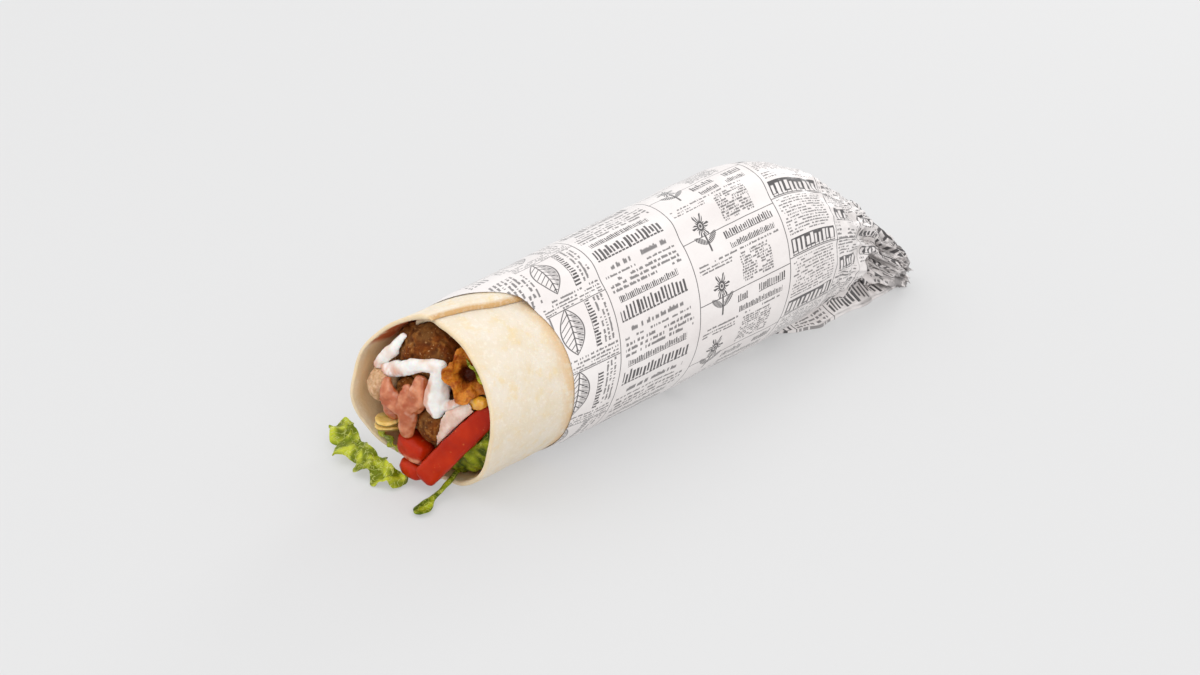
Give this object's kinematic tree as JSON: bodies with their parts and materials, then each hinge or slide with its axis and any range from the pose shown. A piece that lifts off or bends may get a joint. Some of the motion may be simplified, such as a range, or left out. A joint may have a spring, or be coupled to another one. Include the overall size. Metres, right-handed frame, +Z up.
{
  "type": "kebab wrap",
  "caption": "Rolled flatbread wrap with falafel, salad and sauce showing at its open end, in a paper wrapper that is gathered into a crumpled tail.",
  "frame": {"origin": "middle of the bounding box's underside, on the surface that the wrap lies on", "axes": "+X along the wrap from its open mouth to the gathered tail of the paper, +Z up; the side with the loose paper fold faces -Y"},
  "size_m": [0.2344, 0.0776, 0.0641],
  "materials": {
    "bread": "soft baked flatbread, matt, pale with light brown spots",
    "paper": "smooth greaseproof paper with a slight sheen",
    "falafel": "dark fried crust",
    "falafel_pale": "crumbly pale inside of a falafel",
    "filling": "mixed filling, matt",
    "tomato": "wet and glossy",
    "pickle": "wet",
    "lettuce": "waxy leaf, light green",
    "leaf": "waxy leaf, dark green",
    "fried_onion": "crisp and slightly oily",
    "onion": "moist, slightly see-through raw onion",
    "pepper": "wet and glossy",
    "white_sauce": "thick, glossy",
    "pink_sauce": "thick, glossy"
  },
  "bodies": {
    "root": {"falafel_left": "falafel_pale", "falafel_low": "falafel", "falafel_middle": "falafel", "falafel_top": "falafel", "filling_core": "filling", "flatbread": "bread", "fried_onion": "fried_onion", "fried_onion_small": "fried_onion", "leaf_near": "leaf", "lettuce_inner": "lettuce", "lettuce_outer": "lettuce", "lettuce_top": "lettuce", "onion_band": "onion", "paper_wrapper": "paper", "pickle_lower": "pickle", "pickle_upper": "pickle", "pink_sauce": "pink_sauce", "rocket_leaf": "leaf", "tomato_chunk": "tomato", "tomato_low": "tomato", "tomato_strip": "tomato", "white_sauce": "white_sauce", "white_sauce_stripe": "white_sauce", "yellow_pepper": "pepper"}
  },
  "joints": []
}
